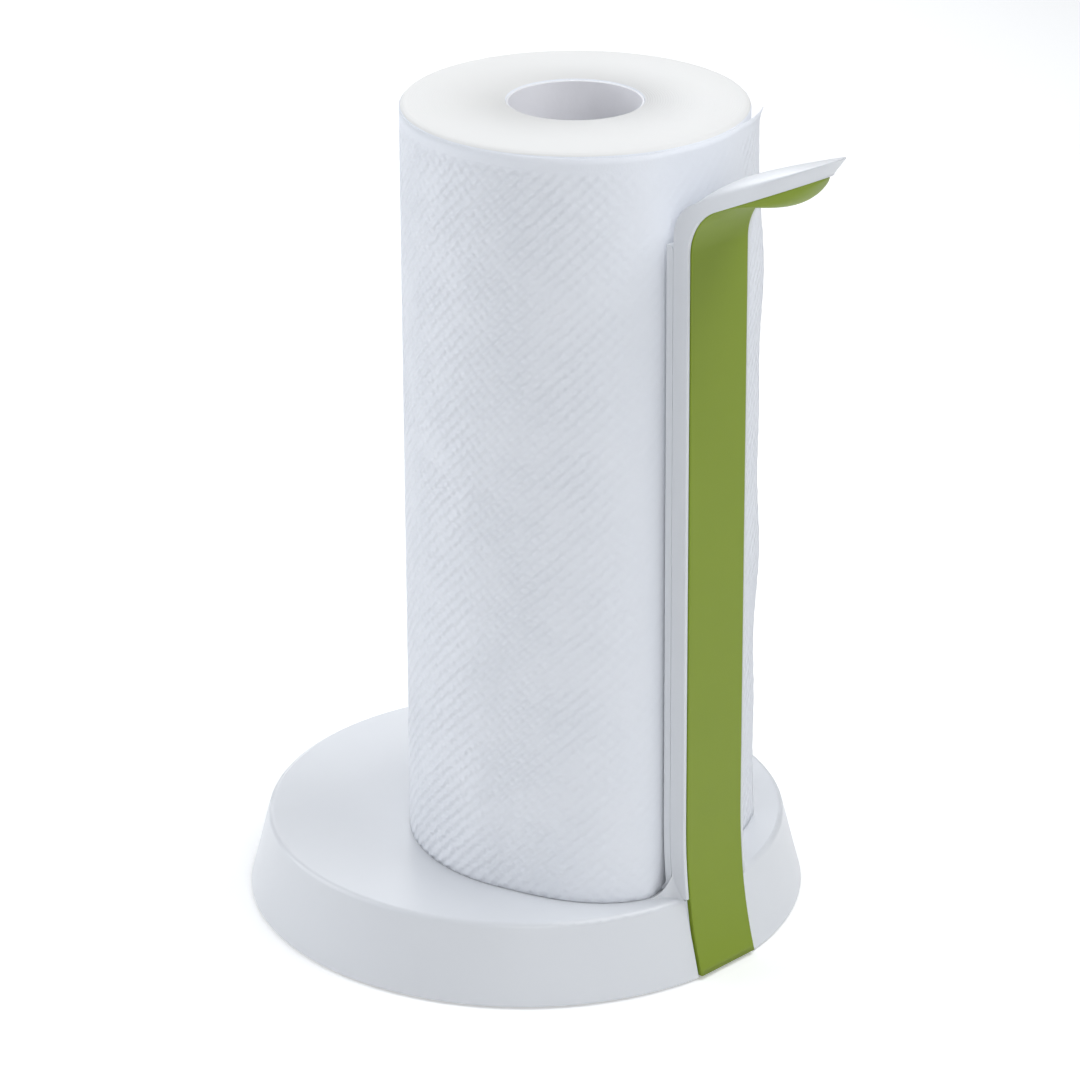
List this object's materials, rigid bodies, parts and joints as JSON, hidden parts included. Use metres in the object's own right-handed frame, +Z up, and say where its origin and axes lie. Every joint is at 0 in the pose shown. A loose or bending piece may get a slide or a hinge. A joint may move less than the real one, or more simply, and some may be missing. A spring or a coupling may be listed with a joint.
{
  "type": "paper towel holder",
  "caption": "Free-standing kitchen paper towel holder: weighted round base, turning upright hub with a full roll, and a sprung side arm with a soft strip and a finger lever.",
  "frame": {"origin": "middle of the base's underside, on the table", "axes": "+Z up, +X from the middle of the base towards the sprung arm, +Y to the left when looking along +X"},
  "size_m": [0.251, 0.2092, 0.3185],
  "materials": {
    "white_shell": "satin gloss white moulding",
    "ballast_iron": "raw casting",
    "steel_screws": "zinc plated",
    "plate_plastic": "fine texture",
    "pad_foam": "matte foam rubber",
    "bright_steel": "drawn bar",
    "bearing_plastic": "natural acetal",
    "stop_rubber": "matte",
    "white_hub": "satin",
    "grip_rubber": "matte soft",
    "core_board": "spiral-wound grey board",
    "tissue_paper": "embossed white paper, side and layered ends",
    "white_arm": "satin gloss white moulding",
    "green_soft_touch": "matte soft-touch",
    "spring_steel": "spring wire"
  },
  "bodies": {
    "base": {"base_shell": "white_shell", "base_ballast": "ballast_iron", "ballast_screws": "steel_screws", "bottom_plate": "plate_plastic", "plate_screws": "steel_screws", "nonslip_pad": "pad_foam", "post_rod": "bright_steel", "post_washer": "bright_steel", "post_nut": "bright_steel", "post_top_washer": "bright_steel", "post_top_screw": "bright_steel", "thrust_washer": "bearing_plastic", "hinge_pin": "bright_steel", "stop_pad": "stop_rubber"},
    "hub": {"hub_sleeve": "white_hub", "core_grips": "grip_rubber", "lower_bush": "bearing_plastic", "upper_bush": "bearing_plastic", "hub_cap": "white_hub"},
    "roll": {"roll_core": "core_board", "paper_roll": "tissue_paper", "loose_sheet": "tissue_paper"},
    "arm": {"arm_shell": "white_arm", "arm_cover": "white_arm", "arm_spine": "bright_steel", "cover_screws": "steel_screws", "grip_strip": "green_soft_touch", "hinge_bushes": "bearing_plastic", "return_spring": "spring_steel"}
  },
  "joints": [
    {"name": "hub_spin", "type": "hinge", "parent": "base", "child": "hub", "pos_m": [0.0226, 0.003, 0.03], "axis": [0, 0, 1], "continuous": true, "deforming": ["loose_sheet"]},
    {"name": "roll_lift", "type": "slide", "parent": "hub", "child": "roll", "axis": [0, 0, 1], "range_m": [0, 0.26]},
    {"name": "arm_swing", "type": "hinge", "parent": "base", "child": "arm", "pos_m": [0.0954, 0, 0.0092], "axis": [0, 1, 0], "range_deg": [0, 6], "stiffness_Nm_per_rad": 1.5, "springref_deg": -30.37, "deforming": ["return_spring"]}
  ]
}
